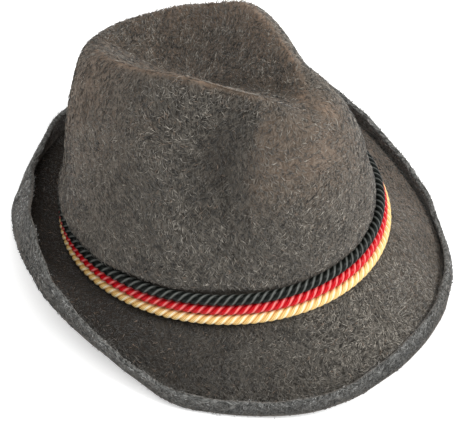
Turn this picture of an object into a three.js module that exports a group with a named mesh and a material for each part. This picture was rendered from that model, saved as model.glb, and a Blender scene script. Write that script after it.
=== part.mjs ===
// A Tyrolean hat of blocked felt with a band of three twisted cords.
// Millimetres, +Z up. The front of the hat faces -Y and the wearer's right side is -X.
// The shape is worked out in the hat's own frame, whose level plane is the foot of the crown,
// and is then tipped back and set down the way the hat rests on a table.
import * as THREE from 'three';

// Driving sizes of the crown
const HEAD_LENGTH = 205; // outside of the felt at the band, front to back
const HEAD_WIDTH = 167; // outside of the felt at the band, side to side
const HEAD_EGG = 0.03; // how much narrower the front of the head oval is than its back
const CROWN_HEIGHT = 145; // foot of the crown to the highest part of the side ridges
const FELT = 2.8; // thickness of the felt
const SHOULDER = 8; // width of the rounding outside each ridge
const WALL_SWELL = 5; // how far the crown's wall swells out half way up where it swells most
const BULGE = 6; // how far the wall bulges out over the band where it bulges most
const BULGE_RISE = 6; // height above the band at which the wall bulges most
const CREASE_DEPTH = 40; // highest ridge to the bottom of the crease
const PINCH_DEPTH = 14; // how far the thumb pinches push the front corners in

// Driving sizes of the brim
const BRIM_REACH = 38; // level distance from the crown to the foot of the lip
const BRIM_DROP = 47; // how far the front of the brim hangs below the foot of the crown
const LIP_HEIGHT = 12; // height of the turned-up edge
const LIP_LEAN = 3.2; // how far the top of the lip leans in over the brim where it leans most
const FLARE = 3.4; // how far the felt spreads out below the band

// Driving sizes of the band
const CORD = 6.6; // diameter of each cord
const CORD_GAP = 0.3; // clearance between cords, and between a cord and the felt
const CORD_LIFT = 0.7; // height of the lowest cord above the felt at the foot of the crown

// How far the felt gives where it rests, and the share of that which its top face follows
const REST_PRESS = 1.8;
const TOP_FOLLOWS = 0.4;

// Fineness of the faceted solids
const SIDES = 64;
const CORD_SIDES = 8;

// The brim, from the front (0 degrees) to the back (180 degrees), the same on both sides.
// reach is a share of BRIM_REACH, drop a share of BRIM_DROP, lip a share of LIP_HEIGHT, lean
// a share of LIP_LEAN, and bend says how late the brim leaves the level: 1 is a straight slope.
const BRIM = [
  { degrees: 0, reach: 1.0, drop: 1.0, lip: 0.84, lean: 1.0, bend: 1.15 },
  { degrees: 30, reach: 0.985, drop: 1.0, lip: 0.8, lean: 0.45, bend: 1.15 },
  { degrees: 60, reach: 0.975, drop: 0.84, lip: 0.92, lean: -0.2, bend: 1.25 },
  { degrees: 90, reach: 0.965, drop: 0.235, lip: 1.05, lean: 0, bend: 1.7 },
  { degrees: 120, reach: 0.93, drop: -0.365, lip: 1.14, lean: 0.35, bend: 2.3 },
  { degrees: 150, reach: 0.905, drop: -0.175, lip: 1.18, lean: 0.2, bend: 2.3 },
  { degrees: 180, reach: 0.9, drop: -0.215, lip: 1.16, lean: 0, bend: 2.3 },
];

// On the wearer's right the lip rolls in further: place round the brim, spread in degrees, and
// how far, in shares of LIP_LEAN
const ROLL = { degrees: -140, spread: 32, lean: 4 };
const LIP_CURL = 1.4;

// The crest of the ridge that runs round the top, from the front to the back. It is broad and
// soft at the front, where the crease climbs to it. across is a share of half HEAD_WIDTH, along
// of half HEAD_LENGTH, height of CROWN_HEIGHT and shoulder of SHOULDER. sharp says how steeply
// the crease falls away from the crest: 0 is level and 1 is an edge.
const RIDGE = [
  { degrees: 0, across: 0, along: -0.835, height: 0.865, shoulder: 2.8, sharp: 0 },
  { degrees: 15, across: 0.045, along: -0.84, height: 0.87, shoulder: 2.7, sharp: 0 },
  { degrees: 30, across: 0.11, along: -0.8, height: 0.905, shoulder: 2.0, sharp: 0 },
  { degrees: 45, across: 0.185, along: -0.7, height: 0.955, shoulder: 0.9, sharp: 0.6 },
  { degrees: 60, across: 0.27, along: -0.54, height: 0.99, shoulder: 0.55, sharp: 1 },
  { degrees: 75, across: 0.365, along: -0.345, height: 1.005, shoulder: 0.5, sharp: 1 },
  { degrees: 90, across: 0.425, along: -0.14, height: 1.0, shoulder: 0.55, sharp: 1 },
  { degrees: 105, across: 0.405, along: 0.06, height: 0.965, shoulder: 0.6, sharp: 0.95 },
  { degrees: 120, across: 0.35, along: 0.25, height: 0.915, shoulder: 0.75, sharp: 0.85 },
  { degrees: 135, across: 0.29, along: 0.43, height: 0.86, shoulder: 0.95, sharp: 0.7 },
  { degrees: 150, across: 0.215, along: 0.58, height: 0.81, shoulder: 1.15, sharp: 0.5 },
  { degrees: 165, across: 0.11, along: 0.705, height: 0.765, shoulder: 1.4, sharp: 0.35 },
  { degrees: 180, across: 0, along: 0.765, height: 0.74, shoulder: 1.6, sharp: 0.3 },
];

// The wall between the band and the ridge: swell is a share of WALL_SWELL and bulge of BULGE
const WALL = [
  { degrees: 0, swell: 0.95, bulge: 0.1 },
  { degrees: 30, swell: 0.45, bulge: 0.3 },
  { degrees: 60, swell: -0.1, bulge: 0.55 },
  { degrees: 90, swell: -0.3, bulge: 0.8 },
  { degrees: 120, swell: -0.5, bulge: 1.05 },
  { degrees: 150, swell: -0.6, bulge: 0.7 },
  { degrees: 180, swell: -0.55, bulge: 0.5 },
];

// The bottom of the crease, in shares of half HEAD_LENGTH
const CREASE_CENTRE = 0.2;

// Above the band the crown wall draws in with height: partly straight, partly late, and last at
// the shoulder. A swellPeak below 1 puts the widest part of the swell lower down.
const DRAW = { straight: 0.15, late: 0.85, lateness: 2.4, shoulder: 12, swellPeak: 0.8 };

// The pinches, one on each side: place round the crown, share of the height, and spreads
const PINCH = {
  degrees: 50, height: 0.64, frontSpread: 7, backSpread: 30, below: 0.3, above: 0.3, top: 10,
};

// Rows of the felt skin. Lip rows are shares of its height, brim rows shares of its reach,
// band rows shares of the stacked cords' height, wall rows shares of the way from the band up to
// the ridge, and crease rows shares of the way from the crease's bottom to the ridge.
const ROWS = {
  lip: [1, 0.55, 0.2, 0.04],
  brim: [1, 0.985, 0.9, 0.75, 0.58, 0.4, 0.22, 0.08, 0],
  band: [0.1, 0.4, 0.72, 1],
  wall: [0.03, 0.07, 0.15, 0.27, 0.41, 0.55, 0.68, 0.79, 0.87, 0.93, 0.975, 1],
  crease: [0.87, 0.73, 0.57, 0.4, 0.2],
};

const BAND_FOOT = CORD_LIFT + TOP_FOLLOWS * REST_PRESS;
const BAND_HEIGHT = BAND_FOOT + 3 * (CORD + CORD_GAP);
const HALF_TURN = Math.PI;
const STEP = (2 * HALF_TURN) / SIDES;

// A column of a table at any angle: a smooth periodic curve through the rows, mirrored
function column(table, name, angle) {
  const last = table.length - 1;
  const value = (index) => {
    const wrapped = ((index % (2 * last)) + 2 * last) % (2 * last);
    return table[wrapped > last ? 2 * last - wrapped : wrapped][name];
  };
  const place = (angle / HALF_TURN) * last;
  const row = Math.floor(place);
  const share = place - row;
  const [a, b, c, d] = [value(row - 1), value(row), value(row + 1), value(row + 2)];
  const straight = 2 * b + (c - a) * share;
  const square = (2 * a - 5 * b + 4 * c - d) * share ** 2;
  return (straight + square + (3 * b - a - 3 * c + d) * share ** 3) / 2;
}

// The column across changes sign from one side of the hat to the other
function ridgeAcross(angle) {
  const folded = Math.atan2(Math.sin(angle), Math.cos(angle));
  return Math.sign(folded) * Math.max(0, column(RIDGE, 'across', Math.abs(folded)));
}

// The head oval at the band, and its outward direction
function oval(angle) {
  const x = (HEAD_WIDTH / 2) * Math.sin(angle) * (1 - HEAD_EGG * Math.cos(angle));
  return new THREE.Vector2(x, (-HEAD_LENGTH / 2) * Math.cos(angle));
}

function outward(angle) {
  const along = oval(angle + STEP / 4).sub(oval(angle - STEP / 4));
  return new THREE.Vector2(along.y, -along.x).normalize();
}

// The crest of the ridge above the same angle of the head oval
function ridge(angle) {
  return new THREE.Vector3(
    (HEAD_WIDTH / 2) * ridgeAcross(angle),
    (HEAD_LENGTH / 2) * column(RIDGE, 'along', angle),
    CROWN_HEIGHT * column(RIDGE, 'height', angle),
  );
}

// A point so far out from the head oval and so high above the foot
function beside(angle, out, up) {
  const edge = oval(angle).addScaledVector(outward(angle), out);
  return new THREE.Vector3(edge.x, edge.y, up);
}

// How far the felt stands out of the head oval below the band
function flare(up) {
  return FLARE * Math.max(0, 1 - up / BAND_HEIGHT) ** 2;
}

// The brim's top face at a share of its reach
function brimPoint(angle, share) {
  const reach = BRIM_REACH * column(BRIM, 'reach', angle);
  const bend = column(BRIM, 'bend', angle);
  const up = -BRIM_DROP * column(BRIM, 'drop', angle) * share ** bend;
  return beside(angle, FLARE + (reach - FLARE) * share, up);
}

// The inner face of the lip at a share of its height
function lipPoint(angle, share) {
  const rise = LIP_HEIGHT * column(BRIM, 'lip', angle) * share;
  const foot = brimPoint(angle, 1);
  const turn = angle - THREE.MathUtils.degToRad(ROLL.degrees);
  const aside = THREE.MathUtils.radToDeg(Math.atan2(Math.sin(turn), Math.cos(turn))) / ROLL.spread;
  const leaning = column(BRIM, 'lean', angle) + ROLL.lean * Math.exp(-(aside ** 2));
  const lean = outward(angle).multiplyScalar(-LIP_LEAN * leaning * share ** LIP_CURL);
  return new THREE.Vector3(foot.x + lean.x, foot.y + lean.y, foot.z + rise);
}

// How deep the thumb pinch is at an angle and a share of the crown's height
function pinch(angle, share) {
  const folded = Math.abs(Math.atan2(Math.sin(angle), Math.cos(angle)));
  const turn = THREE.MathUtils.radToDeg(folded) - PINCH.degrees;
  const rise = share - PINCH.height;
  const round = turn / (turn < 0 ? PINCH.frontSpread : PINCH.backSpread);
  const tall = rise / (rise < 0 ? PINCH.below : PINCH.above);
  return PINCH_DEPTH * Math.exp(-(round ** 2) - tall ** 2) * (1 - share ** PINCH.top);
}

// The crown wall at a height above the foot
function wallPoint(angle, up) {
  const crest = ridge(angle);
  const out = outward(angle);
  const foot = oval(angle).addScaledVector(out, flare(up));
  const width = SHOULDER * column(RIDGE, 'shoulder', angle);
  const shoulder = new THREE.Vector2(crest.x, crest.y).addScaledVector(out, width);
  const rise = Math.max(0, up - BAND_HEIGHT);
  const climb = rise / (crest.z - BAND_HEIGHT);
  const drawn = DRAW.straight * climb + DRAW.late * climb ** DRAW.lateness;
  const swell = WALL_SWELL * column(WALL, 'swell', angle) * Math.sin(HALF_TURN * climb ** DRAW.swellPeak);
  const near = rise / BULGE_RISE;
  const bulge = BULGE * column(WALL, 'bulge', angle) * near * Math.exp(1 - near);
  const share = Math.min(1, up / crest.z);
  const over = width * (1 - Math.sqrt(1 - share ** DRAW.shoulder));
  const edge = foot.lerp(shoulder, drawn);
  edge.addScaledVector(out, swell + bulge - over - pinch(angle, share));
  return new THREE.Vector3(edge.x, edge.y, up);
}

// The crown wall at a share of the way from the band up to the ridge
function upperWallPoint(angle, share) {
  return wallPoint(angle, BAND_HEIGHT + (ridge(angle).z - BAND_HEIGHT) * share);
}

// The crease's bottom, and the top between it and the ridge
const creaseBottom = new THREE.Vector3(0, (HEAD_LENGTH / 2) * CREASE_CENTRE, CROWN_HEIGHT - CREASE_DEPTH);

function creasePoint(angle, share) {
  const crest = ridge(angle);
  const sharp = column(RIDGE, 'sharp', angle);
  const rise = share ** 2 * (3 - sharp - (2 - sharp) * share);
  const point = creaseBottom.clone().lerp(crest, share);
  point.z = creaseBottom.z + (crest.z - creaseBottom.z) * rise;
  return point;
}

// One ring of points for each row of the felt's outer skin, from the lip's edge to the crease
function skinRings() {
  const rows = [
    ...ROWS.lip.map((share) => (angle) => lipPoint(angle, share)),
    ...ROWS.brim.map((share) => (angle) => brimPoint(angle, share)),
    ...ROWS.band.map((share) => (angle) => wallPoint(angle, share * BAND_HEIGHT)),
    ...ROWS.wall.map((share) => (angle) => upperWallPoint(angle, share)),
    ...ROWS.crease.map((share) => (angle) => creasePoint(angle, share)),
  ];
  return rows.map((row) => Array.from({ length: SIDES }, (_, k) => row(k * STEP)));
}

// The inner skin lies one felt thickness inside the outer one
function innerRings(rings) {
  const pole = Array(SIDES).fill(creaseBottom);
  return rings.map((ring, row) => ring.map((point, k) => {
    const round = ring[(k + 1) % SIDES].clone().sub(ring[(k + SIDES - 1) % SIDES]);
    const next = (rings[row + 1] ?? pole)[k];
    const up = next.clone().sub(rings[Math.max(0, row - 1)][k]);
    return point.clone().addScaledVector(round.cross(up).normalize(), -FELT);
  }));
}

// The cut edge of the lip, a little rounded
function edgeRing(outer, inner) {
  const swell = FELT / 5;
  return outer.map((point, k) => {
    const middle = point.clone().add(inner[k]).multiplyScalar(0.5);
    middle.z += swell;
    return middle;
  });
}

// The hat tips back until the front and the back of the brim stand on one level
function restingPitch(points) {
  const front = points.filter((point) => point.y < 0);
  const back = points.filter((point) => point.y > HEAD_LENGTH / 2);
  const lowest = (group, pitch) => Math.min(...group.map((point) => tipped(point, pitch).z));
  let [low, high] = [0, HALF_TURN / 6];
  for (let turn = 0; turn < 30; turn += 1) {
    const middle = (low + high) / 2;
    if (lowest(front, middle) < lowest(back, middle)) low = middle;
    else high = middle;
  }
  return (low + high) / 2;
}

function tipped(point, pitch) {
  return point.clone().applyAxisAngle(new THREE.Vector3(1, 0, 0), -pitch);
}

// Where the hat rests: its pitch, and the shift that centres it over the origin
function restingPlace(points) {
  const pitch = restingPitch(points);
  const box = new THREE.Box3().setFromPoints(points.map((point) => tipped(point, pitch)));
  const shift = new THREE.Vector3(0, -(box.min.y + box.max.y) / 2, -box.min.z - REST_PRESS);
  return { pitch, shift };
}

const outerSkin = skinRings();
const innerSkin = innerRings(outerSkin);
const place = restingPlace([...outerSkin, ...innerSkin].flat());

function placed(point) {
  return tipped(point, place.pitch).add(place.shift);
}

// Felt whose underside would lie below the table is pressed up by a share of that depth
function pressed(point, underside, share) {
  const set = placed(point);
  set.z += share * Math.max(0, -placed(underside).z);
  return set;
}

// A closed mesh from rings of points that shrink to a point at both ends
function closedSurface({ first, rings, last }) {
  const positions = [first, ...rings.flat(), last].flatMap((point) => point.toArray());
  const faces = [];
  const at = (ring, k) => 1 + ring * SIDES + (k % SIDES);
  const end = 1 + rings.length * SIDES;
  for (let k = 0; k < SIDES; k += 1) {
    faces.push(0, at(0, k + 1), at(0, k));
    for (let ring = 0; ring + 1 < rings.length; ring += 1) {
      faces.push(at(ring, k), at(ring + 1, k + 1), at(ring + 1, k));
      faces.push(at(ring, k), at(ring, k + 1), at(ring + 1, k + 1));
    }
    faces.push(at(rings.length - 1, k), at(rings.length - 1, k + 1), end);
  }
  const geometry = new THREE.BufferGeometry();
  geometry.setAttribute('position', new THREE.Float32BufferAttribute(positions, 3));
  geometry.setIndex(faces);
  geometry.computeVertexNormals();
  return geometry;
}

// The felt runs from the crease inside the crown, down and out round the lip, and back over the top
function feltBody() {
  const inner = innerSkin.map((ring) => ring.map((point) => pressed(point, point, 1)));
  const outer = outerSkin.map((ring, row) => ring.map((point, k) => (
    pressed(point, innerSkin[row][k], TOP_FOLLOWS)
  )));
  const innerBottom = creaseBottom.clone();
  innerBottom.z -= FELT;
  return closedSurface({
    first: placed(innerBottom),
    rings: [...inner].reverse().concat([edgeRing(outer[0], inner[0])], outer),
    last: placed(creaseBottom),
  });
}

// The middle line of a cord: level counts from the lowest cord up
class CordLoop extends THREE.Curve {
  constructor(level) {
    super();
    this.up = BAND_FOOT + CORD / 2 + level * (CORD + CORD_GAP);
  }

  getPoint(share, target = new THREE.Vector3()) {
    const angle = share * 2 * HALF_TURN;
    const out = flare(this.up) + CORD / 2 + CORD_GAP;
    return target.copy(placed(beside(angle, out, this.up)));
  }
}

// A round bar along a closed loop, with shared corners so that it closes on itself
function cordLoop(level) {
  const path = new CordLoop(level);
  const middle = placed(new THREE.Vector3(0, 0, path.up));
  const axis = tipped(new THREE.Vector3(0, 0, 1), place.pitch);
  const positions = [];
  const faces = [];
  for (let k = 0; k < SIDES; k += 1) {
    const centre = path.getPoint(k / SIDES);
    const along = path.getPoint((k + 0.25) / SIDES).sub(path.getPoint((k - 0.25) / SIDES)).normalize();
    const out = along.clone().cross(axis).normalize();
    out.multiplyScalar(Math.sign(out.dot(centre.clone().sub(middle))));
    for (let side = 0; side < CORD_SIDES; side += 1) {
      const turn = ((side + 0.5) * 2 * HALF_TURN) / CORD_SIDES;
      const point = centre.clone().addScaledVector(out, (CORD / 2) * Math.cos(turn));
      positions.push(...point.addScaledVector(axis, (CORD / 2) * Math.sin(turn)).toArray());
      const here = k * CORD_SIDES;
      const next = ((k + 1) % SIDES) * CORD_SIDES;
      const beyond = (side + 1) % CORD_SIDES;
      faces.push(here + side, next + side, next + beyond);
      faces.push(here + side, next + beyond, here + beyond);
    }
  }
  const geometry = new THREE.BufferGeometry();
  geometry.setAttribute('position', new THREE.Float32BufferAttribute(positions, 3));
  geometry.setIndex(faces);
  geometry.computeVertexNormals();
  return geometry;
}

function material(colour, roughness) {
  return new THREE.MeshStandardMaterial({ color: colour, roughness, metalness: 0 });
}

function piece(name, geometry, finish) {
  const mesh = new THREE.Mesh(geometry, finish);
  mesh.name = name;
  return mesh;
}

const CORDS = [
  { name: 'cord_gold', level: 0, colour: 0xf0bc5a },
  { name: 'cord_red', level: 1, colour: 0xd0141e },
  { name: 'cord_black', level: 2, colour: 0x22231f },
];

const hat = new THREE.Group();
hat.add(piece('felt_body', feltBody(), material(0x5a534c, 0.95)));
for (const cord of CORDS) {
  hat.add(piece(cord.name, cordLoop(cord.level), material(cord.colour, 0.45)));
}

export default hat;
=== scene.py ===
"""A Tyrolean hat of grey-brown felt with a band of three twisted cords.

Metres, +Z up. The front faces -Y and the wearer's right side is -X. Each surface is a function of
an angle round the hat, 0 at the front, and a share along the profile. The hat is worked out in
its own frame, level at the foot of the crown, and is then tipped back and set down to rest.
"""

import math

import bpy
import numpy as np
from bpy.props import FloatProperty, FloatVectorProperty, IntProperty, PointerProperty
from mathutils import Matrix, Vector


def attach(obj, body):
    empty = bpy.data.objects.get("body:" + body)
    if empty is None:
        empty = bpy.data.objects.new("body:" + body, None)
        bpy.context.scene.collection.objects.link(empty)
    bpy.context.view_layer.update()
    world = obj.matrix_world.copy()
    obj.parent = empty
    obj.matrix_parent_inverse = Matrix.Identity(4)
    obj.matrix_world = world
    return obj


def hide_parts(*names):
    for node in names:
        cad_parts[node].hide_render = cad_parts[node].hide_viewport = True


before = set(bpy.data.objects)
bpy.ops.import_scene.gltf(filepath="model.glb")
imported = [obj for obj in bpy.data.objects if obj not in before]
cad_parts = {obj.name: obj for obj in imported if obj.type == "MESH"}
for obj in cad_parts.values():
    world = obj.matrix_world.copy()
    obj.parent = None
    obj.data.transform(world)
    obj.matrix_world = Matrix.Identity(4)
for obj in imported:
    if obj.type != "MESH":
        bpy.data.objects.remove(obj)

bl_info = {
    "name": "Tyrolean Hat",
    "version": (1, 0, 0),
    "blender": (4, 5, 0),
    "location": "View3D > Sidebar > Hat",
    "description": "A creased felt hat with a turned-up brim edge and a band of twisted cords",
    "category": "Mesh",
}

BODY = "root"
FULL_TURN = 2 * math.pi


def table(columns, *rows):
    """Rows of numbers under named columns."""
    return dict(zip(columns.split(), np.array(rows, float).T))


# The brim, in rows of 30 degrees from the front to the back, the same on both sides. reach is a
# share of the brim's reach, drop of its drop, lip of the lip's height, lean of the lip's lean, and
# bend says how late the brim leaves the level: 1 is a straight slope.
BRIM = table(
    "reach drop lip lean bend",
    (1, 1, 0.84, 1, 1.15),
    (0.985, 1, 0.8, 0.45, 1.15),
    (0.975, 0.84, 0.92, -0.2, 1.25),
    (0.965, 0.235, 1.05, 0, 1.7),
    (0.93, -0.365, 1.14, 0.35, 2.3),
    (0.905, -0.175, 1.18, 0.2, 2.3),
    (0.9, -0.215, 1.16, 0, 2.3),
)

# On the wearer's right the lip rolls in further: place round the brim, spread in degrees, and
# how far, in shares of the lip's lean. Every lean grows with the power LIP_CURL of the height.
ROLL = {"degrees": -140, "spread": 32, "lean": 4.0}
LIP_CURL = 1.4

# The crest of the ridge round the top, in rows of 15 degrees from the front to the back. It is
# broad and soft at the front, where the crease climbs to it. across is a share of half the head's
# width, along of half its length, height of the crown's height and shoulder of the shoulder's
# width. sharp says how steeply the crease falls away from the crest: 0 is level, 1 is an edge.
RIDGE = table(
    "across along height shoulder sharp",
    (0, -0.835, 0.865, 2.8, 0),
    (0.045, -0.84, 0.87, 2.7, 0),
    (0.11, -0.8, 0.905, 2, 0),
    (0.185, -0.7, 0.955, 0.9, 0.6),
    (0.27, -0.54, 0.99, 0.55, 1),
    (0.365, -0.345, 1.005, 0.5, 1),
    (0.425, -0.14, 1, 0.55, 1),
    (0.405, 0.06, 0.965, 0.6, 0.95),
    (0.35, 0.25, 0.915, 0.75, 0.85),
    (0.29, 0.43, 0.86, 0.95, 0.7),
    (0.215, 0.58, 0.81, 1.15, 0.5),
    (0.11, 0.705, 0.765, 1.4, 0.35),
    (0, 0.765, 0.74, 1.6, 0.3),
)

# The wall between the band and the ridge, in rows of 30 degrees, as shares of its swell and bulge
WALL = table(
    "swell bulge",
    (0.95, 0.1), (0.45, 0.3), (-0.1, 0.55), (-0.3, 0.8),
    (-0.5, 1.05), (-0.6, 0.7), (-0.55, 0.5),
)

# The bottom of the crease, in shares of half the head's length
CREASE_CENTRE = 0.2

# Above the band the crown wall draws in with height: partly straight, partly late, and last at
# the shoulder. A swell peak below 1 puts the widest part of the swell lower down.
DRAW = {"straight": 0.15, "late": 0.85, "lateness": 2.4, "shoulder": 12, "swell_peak": 0.8}

# The thumb pinches: place round the crown, share of the height, and spreads
PINCH = {"degrees": 50, "height": 0.64, "front": 7, "back": 30, "below": 0.3, "above": 0.3, "top": 10}

# Rows of the fine surface in each stretch of the profile, from the lip's edge to the crease, its
# sides, and the angle of each side
ROWS = {"lip": 12, "brim": 32, "band": 10, "wall": 46, "crease": 34}
SIDES = 360
ROUND = np.arange(SIDES) * FULL_TURN / SIDES

# How the rows are crowded in a stretch, as powers of the share
CROWDED = {"brim": 1.4, "wall": 1.2, "crease": 1.35}

# The cut edge: its rows, how far it bulges in shares of the felt's thickness, and its squareness
EDGE = {"rows": 5, "bulge": 0.32, "square": 0.7}

# The softened fold at the lip's foot, in rows, and the groove and the ridge inside it: how far in
# and how wide, in metres
FOLD_ROWS = 5.0
GROOVE = {"groove": (0.0012, 0.0013), "ridge": (0.0046, 0.0012)}

# Slow patterns over the felt, each with its seed and its length in metres. Each is a sum of as
# many sines as WAVES says, with lengths between the two shares in WAVE_LENGTHS.
PATTERNS = {
    "felt": (3, 0.055), "lip": (11, 0.03), "sweep": (21, 0.05), "swirl": (31, 0.06),
    "patch": (5, 0.022), "clump": (41, 0.0045), "cloud": (43, 0.013), "lip_clump": (47, 0.004),
}
WAVES = 14
WAVE_LENGTHS = (0.7, 1.8)

# The streaks of the felt's colour: radius at which they are read, and how far and how often they
# turn with the height, regularly and at random
STREAK = {"radius": 0.085, "turn": 0.25, "length": 0.06, "random": 0.06}

# Where the felt is worn, where painted light falls and where painted shade lies: the middle and the width of
# each bell, in degrees round the hat, where the wearer's right is below 0, and in metres along the profile
TURN = {
    "sides": (88, 52), "tip": (18, 7), "back": (138, 34), "left_brim": (62, 38), "dent": (-56, 9),
    "front_brim": (0, 45), "right_brim": (-128, 50), "lit_brim": (-5, 50), "right_lip": (-95, 45),
}
ALONG = {
    "line": (0, 0.0020), "tip": (-0.007, 0.013), "column": (-0.030, 0.030), "crease": (0, 0.017),
    "wall": (0, 0.005), "back": (-0.03, 0.05), "dent": (-0.045, 0.03), "groove": (0.0014, 0.0013),
    "fold": (0, 0.005),
}

# The painted light on the front column, with its crisp right edge and soft left edge, and where the crest's
# line begins on the right, in degrees; and in metres how fast tones change beside the lip and at the band
COLUMN = {"right": 45, "left": 42, "crest": 36}
EASE = {"band": 0.006, "lit": 0.006, "shade": 0.003, "lip": 0.0022, "right_lip": 0.0065}

# How strongly each place is worn, and how strongly the front column and the back of the wall are lit by
# painted light; and how dark each place of painted shade is
RUBBED_AND_LIT = {
    "line": 1.2, "tip": 1.3, "column": 0.58, "front": 0.7, "crease": 0.42, "wall": 0.25,
    "back": 0.5, "inside": 0.26, "brim": 0.24,
}
SHADED = {"front": 1.0, "right": 2.2, "groove": 1.3, "dent": 1.2, "fold": 1.5}

# Tones of the felt's hairs, from 0 dark to 1 tan: mean, spread, clumps, clouds, painted light on the brim's
# front, palest, how far the painted shade darkens, tan, and the share of tan hairs; then the lip's
TONE = {
    "mean": 0.29, "spread": 0.19, "clump": 0.14, "cloud": 0.08, "front": 0.16, "palest": 0.64,
    "shade": 0.42, "tan": 0.72, "tan_range": 0.26, "few": 0.07, "many": 0.8,
}
# In the lip's tones, fold is how far painted shade darkens the hairs in the fold at the lip's foot
LIP_TONE = {"mean": 0.42, "spread": 0.3, "clump": 0.24, "fold": 0.75, "inside": 0.9}

# The hairs: swirl and random turn in radians, mean and spread of their rise, curl, droop, range of
# length and of thickness, and the height below which none grows
HAIR = {
    "swirl": 1.3, "turn": 0.75, "rise": (0.02, 0.07), "curl": 0.55, "droop": (0.02, 0.16),
    "long": (0.45, 1.45), "thick": (0.55, 1.45), "lowest": 0.0012,
}

# How many times paler than the light ones the palest hairs are
PALER = 3.3

# A hair's shape: how far its middle stands off in shares of its length, the lowest height, and at
# root, middle and tip the change of tone and the place along it
SPINDLE = {
    "stand": 0.04, "lowest": 0.0003,
    "tones": np.array([0, -0.004, 0, 0.004, 0]), "along": np.array([0.02, 0.5, 0.52, 0.5, 0.98]),
}

# The three cords, from the lowest up, with the name of their colours and their gloss
CORDS = [
    {"node": "cord_gold", "colour": "gold", "gloss": 0.5},
    {"node": "cord_red", "colour": "red", "gloss": 0.2},
    {"node": "cord_black", "colour": "black", "gloss": 0.16},
]

# The fineness of a strand: points along each turn of the cord, and corners round it
STRAND = {"points_per_turn": 20, "corners": 16}

# The soft lights, in degrees round the hat and above the floor and in metres
LIGHTS = {
    "key": {"azimuth": 18, "elevation": 42, "distance": 1.6, "size": 0.6},
    "top": {"azimuth": -110, "elevation": 78, "distance": 1.5, "size": 1.2},
}
HALF_FLOOR = 3.0
WHITE = (1, 1, 1, 1)


def length(name, default, description):
    """A size in metres that a user may change."""
    return FloatProperty(name=name, description=description, default=default, unit="LENGTH", precision=4)


def share(name, default, description):
    """A plain number that a user may change."""
    return FloatProperty(name=name, description=description, default=default, precision=3)


def paint(name, default, description):
    """A colour that a user may change."""
    return FloatVectorProperty(
        name=name, description=description, default=default, subtype="COLOR", size=3, min=0, max=1
    )


class FeltSizes(bpy.types.PropertyGroup):
    """Sizes of the crown and the brim."""

    head_length: length("Head length", 0.205, "Outside of the felt at the band, front to back")
    head_width: length("Head width", 0.167, "Outside of the felt at the band, side to side")
    head_egg: share("Egg", 0.03, "How much narrower the front of the head oval is than its back")
    crown_height: length("Crown height", 0.145, "Foot of the crown to the top of the side ridges")
    felt: length("Felt", 0.0028, "Thickness of the felt")
    shoulder: length("Shoulder", 0.008, "Width of the rounding outside each ridge")
    wall_swell: length("Wall swell", 0.005, "How far the wall swells out where it swells most")
    bulge: length("Bulge", 0.006, "How far the wall bulges out over the band")
    bulge_rise: length("Bulge rise", 0.006, "Height above the band where the wall bulges most")
    crease_depth: length("Crease depth", 0.040, "Highest ridge to the bottom of the crease")
    pinch_depth: length("Pinch depth", 0.014, "How far the pinches push the front corners in")
    brim_reach: length("Brim reach", 0.038, "Level distance from the crown to the foot of the lip")
    brim_drop: length("Brim drop", 0.047, "How far the front of the brim hangs")
    lip_height: length("Lip height", 0.012, "Height of the turned-up edge")
    lip_lean: length("Lip lean", 0.0032, "How far the lip leans in over the brim where it leans most")
    groove: length("Groove", 0.0005, "Depth of the groove and height of the ridge inside the lip")
    flare: length("Flare", 0.0034, "How far the felt spreads out below the band")
    rest_press: length("Rest press", 0.0018, "How far the felt gives where it rests")
    top_follows: share("Top follows", 0.4, "Share of the press that the top face follows")
    waviness: length("Waviness", 0.0008, "Depth of the felt's slow waves")
    fold_rounds: IntProperty(name="Fold", description="Smoothing rounds at the lip's foot", default=9, min=0)


class CordSizes(bpy.types.PropertyGroup):
    """Sizes of the twisted cords."""

    cord: length("Cord", 0.0066, "Diameter of each cord")
    gap: length("Gap", 0.0003, "Clearance between cords, and between a cord and the felt")
    lift: length("Lift", 0.0007, "Height of the lowest cord above the felt")
    lay: length("Lay", 0.0156, "Length of one full turn of the strands")
    strand: length("Strand", 0.0040, "Thickness of one strand")
    strands: IntProperty(name="Strands", description="Strands in each cord", default=3, min=2)
    threads: IntProperty(name="Threads", description="Threads seen round a strand", default=12, min=4)


class NapSizes(bpy.types.PropertyGroup):
    """Sizes of the felt's short hairs."""

    hair: length("Hair", 0.0040, "Length of an average hair")
    thickness: length("Thickness", 0.00040, "Thickness of a hair")
    seed: IntProperty(name="Seed", description="Seed of the hairs' places", default=7, min=0)


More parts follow.
